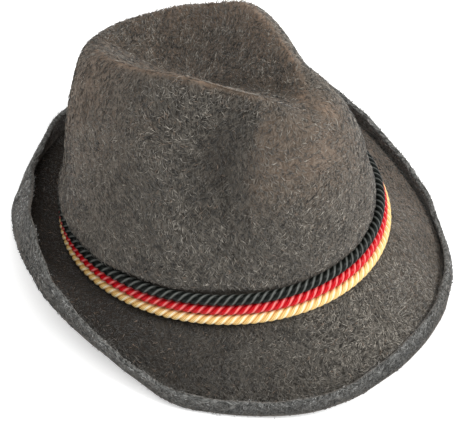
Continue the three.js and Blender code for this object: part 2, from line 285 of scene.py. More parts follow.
class HatColours(bpy.types.PropertyGroup):
    """Colours of the felt and the cords."""

    felt_dark: paint("Felt, dark", (0.013, 0.012, 0.010), "Between the hairs of the felt")
    felt_light: paint("Felt, light", (0.142, 0.130, 0.111), "Hairs on the face of the felt")
    # The tan colour goes where the felt is worn, and as painted light on the front column and the back of
    # the wall
    felt_tan: paint("Felt, tan", (0.310, 0.215, 0.150), "Rubbed felt on the ridges")
    # The deep colours of the felt and of the lip are painted shade: on the brim between crown and lip, in
    # the groove inside the lip, in the pinch's hollow and in the fold at the lip's foot
    felt_deep: paint("Felt, deep", (0.018, 0.014, 0.011), "Felt in the shade of the brim and the pinch")
    lip_dark: paint("Lip, dark", (0.022, 0.023, 0.022), "Between the hairs of the lip")
    lip_light: paint("Lip, light", (0.190, 0.192, 0.184), "Hairs on the lip")
    lip_deep: paint("Lip, deep", (0.010, 0.010, 0.009), "Fold at the lip's foot")
    lip_tip: paint("Lip, tip", (0.70, 0.70, 0.68), "Palest hairs on the lip")
    # The cords' dark colours are painted shade in the valleys and between the threads, and their pale
    # colours are painted highlights along each strand
    black: paint("Black", (0.006, 0.008, 0.0065), "Face of the black cord")
    black_shade: paint("Black, shade", (0.002, 0.0025, 0.002), "Valleys of the black cord")
    black_line: paint("Black, line", (0.150, 0.158, 0.146), "Pale thread of the black cord")
    red: paint("Red", (0.720, 0.002, 0.010), "Face of the red cord")
    red_shade: paint("Red, shade", (0.200, 0.0005, 0.002), "Valleys of the red cord")
    red_line: paint("Red, line", (0.900, 0.300, 0.280), "Pale thread of the red cord")
    gold: paint("Gold", (1.000, 0.730, 0.280), "Face of the gold cord")
    gold_shade: paint("Gold, shade", (0.520, 0.170, 0.012), "Valleys of the gold cord")
    gold_line: paint("Gold, line", (1.000, 0.950, 0.740), "Pale thread of the gold cord")


class HatView(bpy.types.PropertyGroup):
    """Camera, lights and floor."""

    azimuth: share("Azimuth", -48.41, "Camera's angle round the hat, in degrees")
    elevation: share("Elevation", 50.97, "Camera's angle above the floor, in degrees")
    roll: share("Roll", -0.43, "Camera's turn about its own axis, in degrees")
    distance: length("Distance", 1.2748, "Camera to the point that it looks at")
    lens: share("Lens", 167.14, "Focal length for a 36 mm wide picture, in millimetres")
    aim: FloatVectorProperty(
        name="Aim", description="Point that the camera looks at", default=(-0.02209, -0.01945, 0.06),
        subtype="TRANSLATION", size=3, precision=4,
    )
    world: share("World light", 0.40, "Strength of the even white light")
    key: share("Key light", 20.0, "Power of the large light at the front right, in watts")
    top: share("Top light", 12.0, "Power of the light overhead, in watts")
    floor_glow: share("Floor glow", 0.42, "Light that the floor gives off by itself")
    floor: paint("Floor", (0.90, 0.90, 0.895), "Plain pale floor")


def column(rows, name, angle):
    """A table's column at any angle: a cubic through four neighbouring rows (Catmull-Rom), the
    table being mirrored so that it closes on itself."""
    values = rows[name]
    last = len(values) - 1
    closed = np.concatenate([values, values[-2:0:-1]])
    place = np.asarray(angle) / math.pi * last
    row = np.floor(place).astype(int)
    part = place - row
    a, b, c, d = (closed[(row + step) % (2 * last)] for step in (-1, 0, 1, 2))
    square = (2 * a - 5 * b + 4 * c - d) * part**2
    cube = (3 * b - a - 3 * c + d) * part**3
    return (2 * b + (c - a) * part + square + cube) / 2


def unit(vectors):
    """Vectors of length 1."""
    return vectors / np.linalg.norm(vectors, axis=-1, keepdims=True)


def bell(value, middle, width):
    """A bell curve of 1 at its middle."""
    return np.exp(-(((value - middle) / width) ** 2))


def ramp(value, width):
    """0 up to 0, then a straight rise to 1 at width."""
    return np.clip(value / width, 0, 1)


def cord_line(s, c, level, angle):
    """A cord's middle line, level 0 being the lowest: out of the head oval by the flare there,
    half a cord and the gap."""
    up = band_foot(s, c) + c.cord / 2 + level * (c.cord + c.gap)
    return beside(s, angle, np.full(len(angle), flare(s, c, up) + c.cord / 2 + c.gap), up)


def folded(angle):
    """The angle brought between minus and plus half a turn."""
    return np.arctan2(np.sin(angle), np.cos(angle))


def spread(x, y, z):
    """Three arrays of one shape, or shapes that stretch to it, as points."""
    return np.stack(np.broadcast_arrays(x, y, z), axis=-1)


def oval(s, angle):
    """The head oval at the band: half the width times the sine, a little narrower at the front,
    and half the length times the cosine, with the outward direction as a second array."""
    half_width, half_length = s.head_width / 2, s.head_length / 2
    sine, cosine = np.sin(angle), np.cos(angle)
    edge = np.stack([half_width * sine * (1 - s.head_egg * cosine), -half_length * cosine], -1)
    run = np.stack([half_width * (cosine - s.head_egg * np.cos(2 * angle)), half_length * sine], -1)
    run /= np.linalg.norm(run, axis=-1, keepdims=True)
    return edge, np.stack([run[..., 1], -run[..., 0]], -1)


def ridge(s, angle):
    """The crest of the ridge above the same angle of the head oval."""
    turn = folded(angle)
    across = np.sign(turn) * np.maximum(0, column(RIDGE, "across", np.abs(turn)))
    return spread(
        s.head_width / 2 * across,
        s.head_length / 2 * column(RIDGE, "along", angle),
        s.crown_height * column(RIDGE, "height", angle),
    )


def beside(s, angle, out, up):
    """A point so far out from the head oval and so high above the foot."""
    edge, outward = oval(s, angle)
    edge = edge + outward * np.asarray(out)[..., None]
    return spread(edge[..., 0], edge[..., 1], up)


def band_foot(s, c):
    """Height of the lowest cord's underside above the foot of the crown."""
    return c.lift + s.top_follows * s.rest_press


def band_height(s, c):
    """Height of the stacked cords above the foot of the crown."""
    return band_foot(s, c) + len(CORDS) * (c.cord + c.gap)


def flare(s, c, up):
    """The felt's distance out of the head oval: the flare times the square of the share of the
    band's height that is left."""
    return s.flare * np.maximum(0, 1 - up / band_height(s, c)) ** 2


def brim_point(s, angle, part):
    """The brim's top face reaches out evenly and drops by a power of the share."""
    reach = s.brim_reach * column(BRIM, "reach", angle)
    drop = s.brim_drop * column(BRIM, "drop", angle)
    up = -drop * part ** column(BRIM, "bend", angle)
    return beside(s, angle, s.flare + (reach - s.flare) * part, up)


def lip_point(s, angle, part):
    """The lip's inner face: up from the brim's rim, leaning in by a power of the height, and
    most where the lip rolls in."""
    rise = s.lip_height * column(BRIM, "lip", angle) * part
    roll = ROLL["lean"] * bell(np.degrees(folded(angle - math.radians(ROLL["degrees"]))), 0, ROLL["spread"])
    lean = -s.lip_lean * (column(BRIM, "lean", angle) + roll) * part**LIP_CURL
    lean = oval(s, angle)[1] * lean[..., None]
    return brim_point(s, angle, 1.0) + spread(lean[..., 0], lean[..., 1], rise)


def pinch(s, angle, part):
    """Depth of the pinches: a bell in the angle times one in the height, each with its own
    spread on either side, ending at the ridge by a power of the height."""
    turn = np.degrees(np.abs(folded(angle))) - PINCH["degrees"]
    rise = part - PINCH["height"]
    side = turn / np.where(turn < 0, PINCH["front"], PINCH["back"])
    tall = rise / np.where(rise < 0, PINCH["below"], PINCH["above"])
    return s.pinch_depth * np.exp(-(side**2) - tall**2) * (1 - part ** PINCH["top"])


def wall_point(s, c, angle, up):
    """The crown's wall at a height: from the head oval to the shoulder, drawn in late above the
    band, with a swell of half a sine, a bulge over the band that rises fast and dies away, a
    round shoulder and the pinches."""
    crest = ridge(s, angle)
    edge, outward = oval(s, angle)
    foot = edge + outward * flare(s, c, up)[..., None]
    width = s.shoulder * column(RIDGE, "shoulder", angle)
    shoulder = crest[..., :2] + outward * width[..., None]
    high = band_height(s, c)
    rise = np.maximum(0, up - high)
    climb = rise / (crest[..., 2] - high)
    drawn = DRAW["straight"] * climb + DRAW["late"] * climb ** DRAW["lateness"]
    swell = s.wall_swell * column(WALL, "swell", angle) * np.sin(math.pi * climb ** DRAW["swell_peak"])
    near = rise / s.bulge_rise
    bulge = s.bulge * column(WALL, "bulge", angle) * near * np.exp(1 - near)
    part = np.minimum(1, up / crest[..., 2])
    over = width * (1 - np.sqrt(1 - part ** DRAW["shoulder"]))
    place = foot + (shoulder - foot) * drawn[..., None]
    place = place + outward * (swell + bulge - over - pinch(s, angle, part))[..., None]
    return spread(place[..., 0], place[..., 1], up)


def crease_bottom(s):
    """The lowest point of the crease."""
    return np.array([0, s.head_length / 2 * CREASE_CENTRE, s.crown_height - s.crease_depth])


def crease_point(s, angle, part):
    """The top inside the ridge: straight from the crease's bottom to the crest in plan, at the
    square of the share times a line that ends level at a soft crest and steep at a sharp one."""
    crest = ridge(s, angle)
    low = crease_bottom(s)
    point = low + (crest - low) * part[..., None]
    sharp = column(RIDGE, "sharp", angle)
    point[..., 2] = low[2] + (crest[..., 2] - low[2]) * part**2 * (3 - sharp - (2 - sharp) * part)
    return point


def eased(count, power=1.0):
    """A column of shares above 0 and up to 1, crowded to the start by a power."""
    return (np.arange(1, count + 1) / count)[:, None] ** power


def skin_rows(s, c):
    """The felt's top face as rows of points in each stretch, from the lip's edge in over the
    brim, up the crown and down into the crease."""
    angle = ROUND[None, :]
    whole = np.ones_like(angle)
    top = ridge(s, angle)[..., 2]
    high = band_height(s, c)
    inward = np.concatenate([[[0.0]], eased(ROWS["brim"], CROWDED["brim"])[:-1]])
    climb = np.sin(eased(ROWS["wall"]) * math.pi / 2) ** CROWDED["wall"]
    centre = eased(ROWS["crease"], CROWDED["crease"])[:-1]
    return {
        "lip": lip_point(s, angle, np.flip(eased(ROWS["lip"])) * whole),
        "brim": brim_point(s, angle, (1 - inward) * whole),
        "band": wall_point(s, c, angle, np.flip(1 - eased(ROWS["band"])) * high * whole),
        "wall": wall_point(s, c, angle, high + (top - high) * climb),
        "crease": crease_point(s, angle, (1 - centre) * whole),
    }


def profile_length(points, row=0):
    """Distance along the profile from a row, at each grid point, below 0 before the row."""
    steps = np.linalg.norm(np.diff(points, axis=0), axis=-1)
    along = np.concatenate([np.zeros_like(steps[:1]), np.cumsum(steps, axis=0)])
    return along - along[row]


def relaxed(points, weight, times):
    """Rows of points drawn towards the mean of the rows beside them, where weight is above 0."""
    for _ in range(times):
        mean = (points[:-2] + points[2:]) / 2
        points = points.copy()
        points[1:-1] += (mean - points[1:-1]) * weight[1:-1, None, None]
    return points


def directions(points, pole):
    """Unit vectors at each grid point: round the hat, up the profile, and out of the felt."""
    run = np.roll(points, -1, axis=1) - np.roll(points, 1, axis=1)
    beyond = np.concatenate([points[1:], np.broadcast_to(pole, points[:1].shape)])
    climb = beyond - np.concatenate([points[:1], points[:-1]])
    return [unit(v) for v in (run, climb, np.cross(run, climb))]


def waves(place, pattern):
    """Slow waves: a sum of sines of the place in space, each with its own direction, length
    and phase."""
    seed, wavelength = PATTERNS[pattern]
    rng = np.random.default_rng(seed)
    total = np.zeros(place.shape[:-1])
    for _ in range(WAVES):
        way = rng.normal(size=3)
        way *= FULL_TURN / (wavelength * rng.uniform(*WAVE_LENGTHS) * np.linalg.norm(way))
        total += np.sin(place @ way + rng.uniform(0, FULL_TURN))
    return total / math.sqrt(WAVES)


def tipped(points, pitch):
    """Points turned back about the X axis by the resting pitch."""
    y, z = points[..., 1], points[..., 2]
    sine, cosine = math.sin(pitch), math.cos(pitch)
    return spread(points[..., 0], y * cosine + z * sine, z * cosine - y * sine)


def resting_place(s, c):
    """The pitch and the shift with which the hat rests, read from the frame's lowest cord: the
    tilt of the plane that its corners lie in, and the way from the middle of the same loop in
    the hat's own frame to the middle of those corners."""
    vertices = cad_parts[CORDS[0]["node"]].data.vertices
    corners = np.empty(3 * len(vertices))
    vertices.foreach_get("co", corners)
    corners = corners.reshape(-1, 3)
    middle = corners.mean(0)
    axis = np.linalg.svd(corners - middle, full_matrices=False)[2][2]
    pitch = math.atan(axis[1] / axis[2])
    return pitch, middle - tipped(cord_line(s, c, 0, ROUND).mean(0), pitch)


class Felt:
    """The felt's two faces as grids of points, with what else is worked out from them: the
    directions on the top face, each column's degrees from the front, each point's distance
    inward from the lip's foot, up from the band and past the crest, and the resting place."""

    def __init__(self, s, c):
        self.sizes, self.cords = s, c
        parts = skin_rows(s, c)
        ends = np.cumsum([len(part) for part in parts.values()]).tolist()
        self.starts = dict(zip(parts, [0, *ends]))
        top = np.concatenate(list(parts.values()))
        top = relaxed(top, bell(np.arange(len(top)), ROWS["lip"], FOLD_ROWS), s.fold_rounds)
        self.pole = crease_bottom(s)
        out = directions(top, self.pole)[2]
        under = top - out * s.felt
        self.pitch, self.shift = resting_place(s, c)
        inward = profile_length(top, ROWS["lip"])
        groove = bell(inward, *GROOVE["ridge"]) - bell(inward, *GROOVE["groove"])
        top = top + out * (s.groove * groove)[..., None]
        wave = waves(top, "felt") * s.waviness
        fading = np.exp(-np.arange(len(top)) / ROWS["lip"])[:, None]
        wave = (wave + waves(top, "lip") * s.waviness * fading)[..., None]
        top = top + out * wave
        under = under + out * wave
        self.under = self.pressed(under, under, 1.0)
        self.top = self.pressed(top, under, s.top_follows)
        self.run, self.climb, self.out = directions(self.top, self.placed(self.pole))
        self.turn = np.degrees(folded(ROUND))[None, :]
        self.inward = profile_length(self.top, ROWS["lip"])
        self.above = profile_length(self.top, self.starts["wall"])
        self.past = profile_length(self.top, self.starts["crease"] - 1)

    def at_turn(self, name):
        """A named bell of the degrees round the hat."""
        return bell(self.turn, *TURN[name])

    def at_crest(self, name):
        """A named bell of the distance past the crest."""
        return bell(self.past, *ALONG[name])

    def placed(self, points):
        """Points of the hat's own frame where they are when it rests."""
        return tipped(points, self.pitch) + self.shift

    def pressed(self, points, underside, part):
        """Placed points, lifted by a share of how far the underside would be below the table."""
        stood = self.placed(points)
        stood[..., 2] += part * np.maximum(0, -self.placed(underside)[..., 2])
        return stood

    def edge(self):
        """The cut edge of the lip: half a flattened turn from the outer face to the inner one."""
        top, under = self.top[0], self.under[0]
        middle, half = (top + under) / 2, (top - under) / 2
        rise = self.climb[0] * -EDGE["bulge"] * self.sizes.felt
        turn = (np.arange(1, EDGE["rows"] + 1) / (EDGE["rows"] + 1) * math.pi)[:, None, None]
        return middle - half * np.cos(turn) + rise * np.sin(turn) ** EDGE["square"]


def new_object(name, data, *materials):
    """An object at the origin, with its materials."""
    thing = bpy.data.objects.new(name, data)
    bpy.context.scene.collection.objects.link(thing)
    for material in materials:
        data.materials.append(material)
    return thing


def ring_faces(rows, columns, closed_rows):
    """Corner numbers of the quads of a grid whose columns close on themselves, as its rows do
    too where closed_rows is true."""
    here = np.arange(rows * columns).reshape(rows, columns)
    beyond = np.roll(here, -1, axis=0)
    quads = np.stack([here, np.roll(here, -1, axis=1), np.roll(beyond, -1, axis=1), beyond], -1)
    return (quads if closed_rows else quads[:-1]).reshape(-1, 4)


def smooth_mesh(name, points, faces):
    """A smooth mesh from an array of points and a list of faces."""
    mesh = bpy.data.meshes.new(name)
    mesh.from_pydata(points.reshape(-1, 3).tolist(), [], faces)
    mesh.shade_smooth()
    mesh.update()
    return mesh


def put_attribute(mesh, name, values):
    """Stores a number or a vector for each point of a mesh."""
    kind, field = ("FLOAT_VECTOR", "vector") if values.ndim > 1 else ("FLOAT", "value")
    attribute = mesh.attributes.new(name, kind, "POINT")
    attribute.data.foreach_set(field, np.ascontiguousarray(values, np.float32).ravel())


def put_uv(mesh, name, values):
    """Stores a UV map, corner by corner."""
    mesh.uv_layers.new(name=name).data.foreach_set("uv", values.astype(np.float32).ravel())


def hair_place(points):
    """Where the colour's streaks are read: round the hat at one radius, and along the profile.
    The angle turns slowly with the height, which makes the hairs sweep sideways."""
    along = profile_length(points)
    regular = STREAK["turn"] * np.sin(along / STREAK["length"])
    turn = ROUND[None, :] + (regular + STREAK["random"] * waves(points, "sweep"))
    return spread(STREAK["radius"] * np.cos(turn), STREAK["radius"] * np.sin(turn), along)


def on_brim(felt):
    """1 on the band, the brim and the lip, and 0 on the crown above them."""
    return ramp(-felt.above, EASE["band"])


def wear(felt):
    """How worn the top face is, with painted light added: a thin worn line along the crest of the side
    ridges, a worn spot at the ridge's tip on the wearer's left front, painted light on the front of the
    crown between the pinches with an edge on the wearer's right, a faint worn tan on the crease's side of
    the crest, painted light on the back of the wall, and worn felt on the brim at the front left."""
    turn, past, much = felt.turn, felt.past, RUBBED_AND_LIT
    side = np.clip(1.35 * bell(np.abs(turn), *TURN["sides"]) - 0.1, 0, 1)
    side = side * np.where(turn < 0, ramp(-turn - COLUMN["crest"], 8), 1)
    patch = 0.72 + 0.28 * np.tanh(2 * waves(felt.top, "patch"))
    line = much["line"] * felt.at_crest("line") * side * patch
    tip = much["tip"] * felt.at_turn("tip") * felt.at_crest("tip") * patch
    # Painted light: the front column between the pinches is made lighter, with a crisp edge on the wearer's
    # right
    between = ramp(turn + COLUMN["right"], 5) * ramp(COLUMN["left"] - turn, 30)
    between = much["column"] * between * felt.at_crest("column") * (past < 0.004)
    front = tip + between * (0.8 + 0.2 * patch)
    inner, outer = (felt.at_crest(name) * much[name] for name in ("crease", "wall"))
    glow = np.where(past > 0, inner, outer) * side
    # Painted light on the back of the wall
    back = much["back"] * bell(np.abs(turn), *TURN["back"]) * (past < 0) * felt.at_crest("back")
    brim = much["brim"] * felt.at_turn("left_brim") * on_brim(felt)
    rubbed_and_lit = line + much["front"] * front + glow + back + much["inside"] * (past > 0) + brim
    return np.clip(rubbed_and_lit, 0, 1) * (1 - lip_mask(felt))


def lip_mask(felt):
    """1 on the lip, fading out over the brim inside its foot, later at the hat's right."""
    reach = EASE["lip"] + EASE["right_lip"] * felt.at_turn("right_lip")
    return np.where(felt.inward < 0, 1.0, bell(felt.inward, 0, reach))


def painted_shade(felt):
    """Painted shade on the felt: most on the brim where it is deep between crown and lip, in the groove
    inside the lip, and in the hollow of the right pinch."""
    brim = ramp(felt.inward, EASE["shade"]) * on_brim(felt)
    front, right = felt.at_turn("front_brim"), felt.at_turn("right_brim")
    brim = brim * (1.0 - SHADED["front"] * front + SHADED["right"] * right)
    dent = SHADED["dent"] * felt.at_turn("dent") * felt.at_crest("dent")
    groove = SHADED["groove"] * bell(felt.inward, *ALONG["groove"])
    return brim + groove + dent * (felt.past < 0)


def brim_front(felt):
    """1 on the front of the brim, which catches the light, and 0 on the lip and the crown."""
    return ramp(felt.inward, EASE["lit"]) * on_brim(felt) * felt.at_turn("lit_brim")


def lip_fold_shade(felt):
    """Where the painted shade of the fold at the lip's foot lies: 1 at the fold, dying away on both sides of
    it.
    """
    return bell(felt.inward, *ALONG["fold"])


def make_felt_mesh(felt):
    """Crown and brim in one closed skin: up the inside of the crown, out under the brim, round
    the lip's edge and back over the top, closed at both ends by a pole."""
    low = felt.placed(felt.pole - np.array([0, 0, felt.sizes.felt]))
    high = felt.placed(felt.pole)
    rings = np.concatenate([felt.under[::-1], felt.edge(), felt.top])
    points = np.concatenate([low[None], rings.reshape(-1, 3), high[None]])
    quads = (ring_faces(len(rings), SIDES, False) + 1).tolist()
    first = np.arange(SIDES)
    after = (first + 1) % SIDES
    last = 1 + (len(rings) - 1) * SIDES
    fan_low = np.stack([0 * first, after + 1, first + 1], -1).tolist()
    fan_high = np.stack([first + last, after + last, 0 * first + len(points) - 1], -1).tolist()
    mesh = smooth_mesh("felt", points, quads + fan_low + fan_high)

    top_wear_and_light, lip = wear(felt), lip_mask(felt)
    edge = np.zeros((EDGE["rows"], SIDES))
    fold = SHADED["fold"] * lip_fold_shade(felt)
    # dark holds the painted shade: in the fold on the underside, and on the brim, in the groove and in the
    # pinch on the top face
    fields = {
        "streak": hair_place(rings),
        "wear": np.concatenate([0 * top_wear_and_light, edge, top_wear_and_light]),
        "lip": np.concatenate([lip[::-1], edge + 1, lip * LIP_TONE["inside"]]),
        "dark": np.concatenate([fold[::-1], edge, painted_shade(felt)]),
    }
    for name, values in fields.items():
        start, end = (values[row].mean(0, keepdims=True) for row in (0, -1))
        put_attribute(mesh, name, np.concatenate([start, values.reshape(-1, *values.shape[2:]), end]))
    return mesh


def hair_roots(felt, rng, count, rows):
    """Random places on a stretch of the top face, evenly by area: cells are drawn by their area,
    and each place is a mix of its cell's corners."""
    top = felt.top[rows[0]:rows[1]]
    right = np.roll(top, -1, axis=1)
    across, up = right[:-1] - top[:-1], top[1:] - top[:-1]
    area = np.linalg.norm(np.cross(across, up), axis=-1)
    chance = np.cumsum(area.ravel())
    cell = np.searchsorted(chance, rng.uniform(0, chance[-1], count))
    row, side = np.unravel_index(cell, area.shape)
    row = row + rows[0]
    u, v = rng.uniform(size=(2, count, 1))
    next_side = (side + 1) % SIDES

    def mixed(grid):
        lower = grid[row, side] * (1 - u) + grid[row, next_side] * u
        upper = grid[row + 1, side] * (1 - u) + grid[row + 1, next_side] * u
        return lower * (1 - v) + upper * v

    return mixed, (row, side)


def hair_mesh(name, root, way, bend, out, size, thickness, tone):
    """Short hairs in one mesh. Each is a closed spindle: a point at the root, three corners round
    its middle, and a point at the tip, which leans by bend. Its UV is its tone across and its
    length along, so that colour depends on those two alone."""
    side = unit(np.cross(way, out))
    lift = np.cross(side, way)
    size, half = size[:, None], thickness[:, None] / 2
    middle = root + way * size * 0.5 + out * size * SPINDLE["stand"]
    tip = middle + unit(way + bend) * size * 0.5
    turns = (k * FULL_TURN / 3 for k in range(3))
    ring = [middle + (side * math.cos(turn) + lift * math.sin(turn)) * half for turn in turns]
    points = np.stack([root - out * half, *ring, tip], 1)
    points[..., 2] = np.maximum(points[..., 2], SPINDLE["lowest"])
    faces = np.array([[0, 2, 1], [0, 3, 2], [0, 1, 3], [4, 1, 2], [4, 2, 3], [4, 3, 1]])
    corners = ((np.arange(len(root)) * 5)[:, None, None] + faces).reshape(-1, 3)
    mesh = smooth_mesh(name, points, corners.tolist())
    u = np.clip(tone[:, None] * 0.98 + 0.01 + SPINDLE["tones"], 0, 1)
    uv = np.stack([u, np.broadcast_to(SPINDLE["along"], u.shape)], -1)
    put_uv(mesh, "OFBake", uv.reshape(-1, 2)[corners.ravel()])
    return mesh


def combed_hairs(felt, name, seed, count, rows, tone, size, outer=False):
    """Hairs on a stretch of the felt, down the slope with a random turn and slow swirls. size
    is a share of the usual length. With outer true they stand on the lip's outer face."""
    nap = bpy.context.scene.hat_nap
    rng = np.random.default_rng(nap.seed + seed)
    mixed, cell = hair_roots(felt, rng, count, rows)
    out, run = unit(mixed(felt.out)), unit(mixed(felt.run))
    root = mixed(felt.under if outer else felt.top)
    if outer:
        out = -out
    down = unit(np.cross(run, out)) * (-1 if outer else 1)
    swirl = HAIR["swirl"] * waves(root, "swirl") + rng.normal(0, HAIR["turn"], count)
    way = down * np.cos(swirl)[:, None] + run * np.sin(swirl)[:, None]
    one = (count, 1)
    way = unit(way + out * np.abs(rng.normal(*HAIR["rise"], one)))
    bend = np.cross(way, out) * rng.normal(0, HAIR["curl"], one) - out * rng.uniform(*HAIR["droop"], one)
    long = nap.hair * size * rng.uniform(*HAIR["long"], count)
    thick = nap.thickness * rng.uniform(*HAIR["thick"], count)
    keep = root[:, 2] > HAIR["lowest"]
    tones = np.clip(tone(rng, cell, root), 0, 1)
    return hair_mesh(name, *(a[keep] for a in (root, way, bend, out, long, thick, tones)))


def felt_tones(felt):
    """Tone of the felt's hairs: from dark to pale, darker under the painted shade on the brim, in the groove
    and in the pinch, lighter under the painted light on the brim's front, and tan where the felt is worn and
    where painted light lies on the front column and the back of the wall."""
    rubbed_and_lit, dark, lip, front = wear(felt), painted_shade(felt), lip_mask(felt), brim_front(felt)

    def tone(rng, cell, root):
        count = len(root)
        clumps = TONE["clump"] * waves(root, "clump") + TONE["cloud"] * waves(root, "cloud")
        # Painted light makes the hairs on the brim's front lighter
        plain = TONE["mean"] + clumps + rng.normal(0, TONE["spread"], count) + TONE["front"] * front[cell]
        plain = np.clip(plain, 0, TONE["palest"])
        # Painted shade darkens the hairs on the brim, in the groove and in the pinch
        plain = plain * (1 - TONE["shade"] * np.clip(dark[cell], 0, 2) * (1 - lip[cell]))
        tan = TONE["tan"] + TONE["tan_range"] * rng.uniform(size=count)
        is_tan = rng.uniform(size=count) < TONE["few"] + TONE["many"] * rubbed_and_lit[cell]
        return np.where(is_tan, tan, plain)

    return tone


def lip_tones(felt):
    """Tone of the lip's hairs: from dark grey to near white, in clumps, and darkened by painted shade in the
    fold.
    """
    fold = lip_fold_shade(felt)

    def tone(rng, cell, root):
        clumps = LIP_TONE["clump"] * waves(root, "lip_clump")
        plain = LIP_TONE["mean"] + clumps + rng.normal(0, LIP_TONE["spread"], len(root))
        return np.clip(plain, 0, 1) * (1 - LIP_TONE["fold"] * fold[cell])

    return tone


def cord_points(felt, level):
    """The strands of a cord as one array, strand by point by side, and the cord's turns. The
    cord's line goes round the head oval, each strand winds about it on a circle that turns as it
    goes, and each strand is a round tube whose corners are counted from its outer side."""
    s, c = felt.sizes, felt.cords
    ring = cord_line(s, c, level, ROUND)
    girth = np.linalg.norm(ring - np.roll(ring, 1, axis=0), axis=1).sum()
    turns = round(girth / c.lay)
    steps, corners = turns * STRAND["points_per_turn"], STRAND["corners"]
    centre = felt.placed(cord_line(s, c, level, np.arange(steps) * FULL_TURN / steps))
    axis_up = tipped(np.array([[0.0, 0.0, 1.0]]), felt.pitch) * np.ones((steps, 1))
    axis_out = unit(np.cross(along_loop(centre), axis_up))
    around_strand = (np.arange(corners) / corners * FULL_TURN)[None, :, None]
    strands = []
    for k in range(c.strands):
        turn = (np.arange(steps) / steps * turns * FULL_TURN + k * FULL_TURN / c.strands)[:, None]
        away = axis_out * np.cos(turn) + axis_up * np.sin(turn)
        line = centre + away * ((c.cord - c.strand) / 2)
        along = along_loop(line)
        face = unit(away - along * (away * along).sum(-1, keepdims=True))
        side = np.cross(along, face)
        tube = face[:, None] * np.cos(around_strand) + side[:, None] * np.sin(around_strand)
        strands.append(line[:, None] + tube * c.strand / 2)
    return np.array(strands), turns


def along_loop(line):
    """Unit vectors along a closed line, from each point's neighbours."""
    return unit(np.roll(line, -1, axis=0) - np.roll(line, 1, axis=0))


def make_cord_mesh(felt, name, level):
    """Three closed strands in one mesh, with a UV map that counts turns of the cord along a
    strand and runs once round it."""
    points, turns = cord_points(felt, level)
    strands, steps, corners = points.shape[:3]
    quads = ring_faces(steps, corners, True)
    every = np.concatenate([quads + k * steps * corners for k in range(strands)])
    mesh = smooth_mesh(name, points, np.flip(every, 1).tolist())
    row, side = np.divmod(np.arange(steps * corners), corners)
    u = np.stack([row, row, row + 1, row + 1], -1) / steps * turns
    v = np.stack([side, side + 1, side + 1, side], -1) / corners
    uv = np.flip(np.stack([u, v], -1), 1)
    put_uv(mesh, "strand", np.tile(uv.reshape(-1), strands))
    return mesh


def feed(tree, node, inputs):
    """Gives a node its inputs: values, or other nodes' outputs, which are linked."""
    for key, value in inputs.items():
        if isinstance(value, bpy.types.NodeSocket):
            tree.links.new(value, node.inputs[key])
        else:
            node.inputs[key].default_value = value
    return node


def new_material(name):
    """A material with its node tree and its Principled shader."""
    material = bpy.data.materials.new(name)
    material.use_nodes = True
    tree = material.node_tree
    tree.nodes.clear()
    shader = tree.nodes.new("ShaderNodeBsdfPrincipled")
    output = tree.nodes.new("ShaderNodeOutputMaterial")
    tree.links.new(shader.outputs["BSDF"], output.inputs["Surface"])
    return material, tree, shader


def add(tree, kind, inputs=None, **settings):
    """A shader node with its settings and its inputs."""
    node = tree.nodes.new("ShaderNode" + kind)
    for name, value in settings.items():
        setattr(node, name, value)
    return feed(tree, node, inputs or {})


def calculate(tree, operation, *values, clamp=False):
    """The result of a Math node."""
    node = add(tree, "Math", dict(enumerate(values)), operation=operation, use_clamp=clamp)
    return node.outputs[0]


def blend_colour(tree, factor, a, b):
    """Two colours mixed by a factor. Colours may be RGB triples or outputs."""
    a, b = (v if isinstance(v, bpy.types.NodeSocket) else (*v, 1) for v in (a, b))
    return add(tree, "Mix", {0: factor, 6: a, 7: b}, data_type="RGBA").outputs[2]


def apart(tree, vector):
    """The three parts of a vector."""
    return add(tree, "SeparateXYZ", {0: vector}).outputs


def bumped(tree, height, strength, distance):
    """The normal of a bump."""
    inputs = {"Height": height, "Strength": strength, "Distance": distance}
    return add(tree, "Bump", inputs).outputs["Normal"]


def new_group(name, inputs, outputs):
    """A node group with its inputs, a vector where the default is None, and its outputs."""
    group = bpy.data.node_groups.new(name, "ShaderNodeTree")
    for label, default in inputs.items():
        kind = "NodeSocketVector" if default is None else "NodeSocketFloat"
        socket = group.interface.new_socket(label, in_out="INPUT", socket_type=kind)
        if default is not None:
            socket.default_value = default
    for label in outputs:
        group.interface.new_socket(label, in_out="OUTPUT", socket_type="NodeSocketFloat")
    return group, group.nodes.new("NodeGroupInput").outputs, group.nodes.new("NodeGroupOutput")


def streak_group():
    """Hair streaks: noise that is stretched along the profile and sheared to one side, read
    twice with opposite shear and the brighter of the two kept, so that the hairs cross."""
    defaults = {"Place": None, "Hairs per metre": 1000.0, "Stretch": 4.0, "Sharpness": 5.0}
    group, source, result = new_group("Hair streaks", defaults, ("Hairs", "Cloud"))
    x, y, along = apart(group, source["Place"])
    drawn = calculate(group, "DIVIDE", along, source["Stretch"])
    grain = {"Scale": source["Hairs per metre"], "Detail": 2.0, "Roughness": 0.6, "Distortion": 0.8}
    found = []
    for shear in (0.45, -0.45):
        slant = calculate(group, "MULTIPLY", along, shear)
        sheared = {0: calculate(group, "ADD", x, slant), 1: calculate(group, "ADD", y, slant), 2: drawn}
        place = add(group, "CombineXYZ", sheared).outputs[0]
        found.append(add(group, "TexNoise", {"Vector": place, **grain}).outputs["Fac"])
    brighter = calculate(group, "MAXIMUM", *found)
    centred = calculate(group, "SUBTRACT", brighter, 0.56)
    sharper = calculate(group, "MULTIPLY", centred, source["Sharpness"])
    hairs = calculate(group, "ADD", sharper, 0.5, clamp=True)
    patches = {"Vector": source["Place"], "Scale": 45.0, "Detail": 3.0, "Roughness": 0.55}
    cloud = add(group, "TexNoise", patches).outputs["Fac"]
    feed(group, result, {"Hairs": hairs, "Cloud": cloud})
    return group


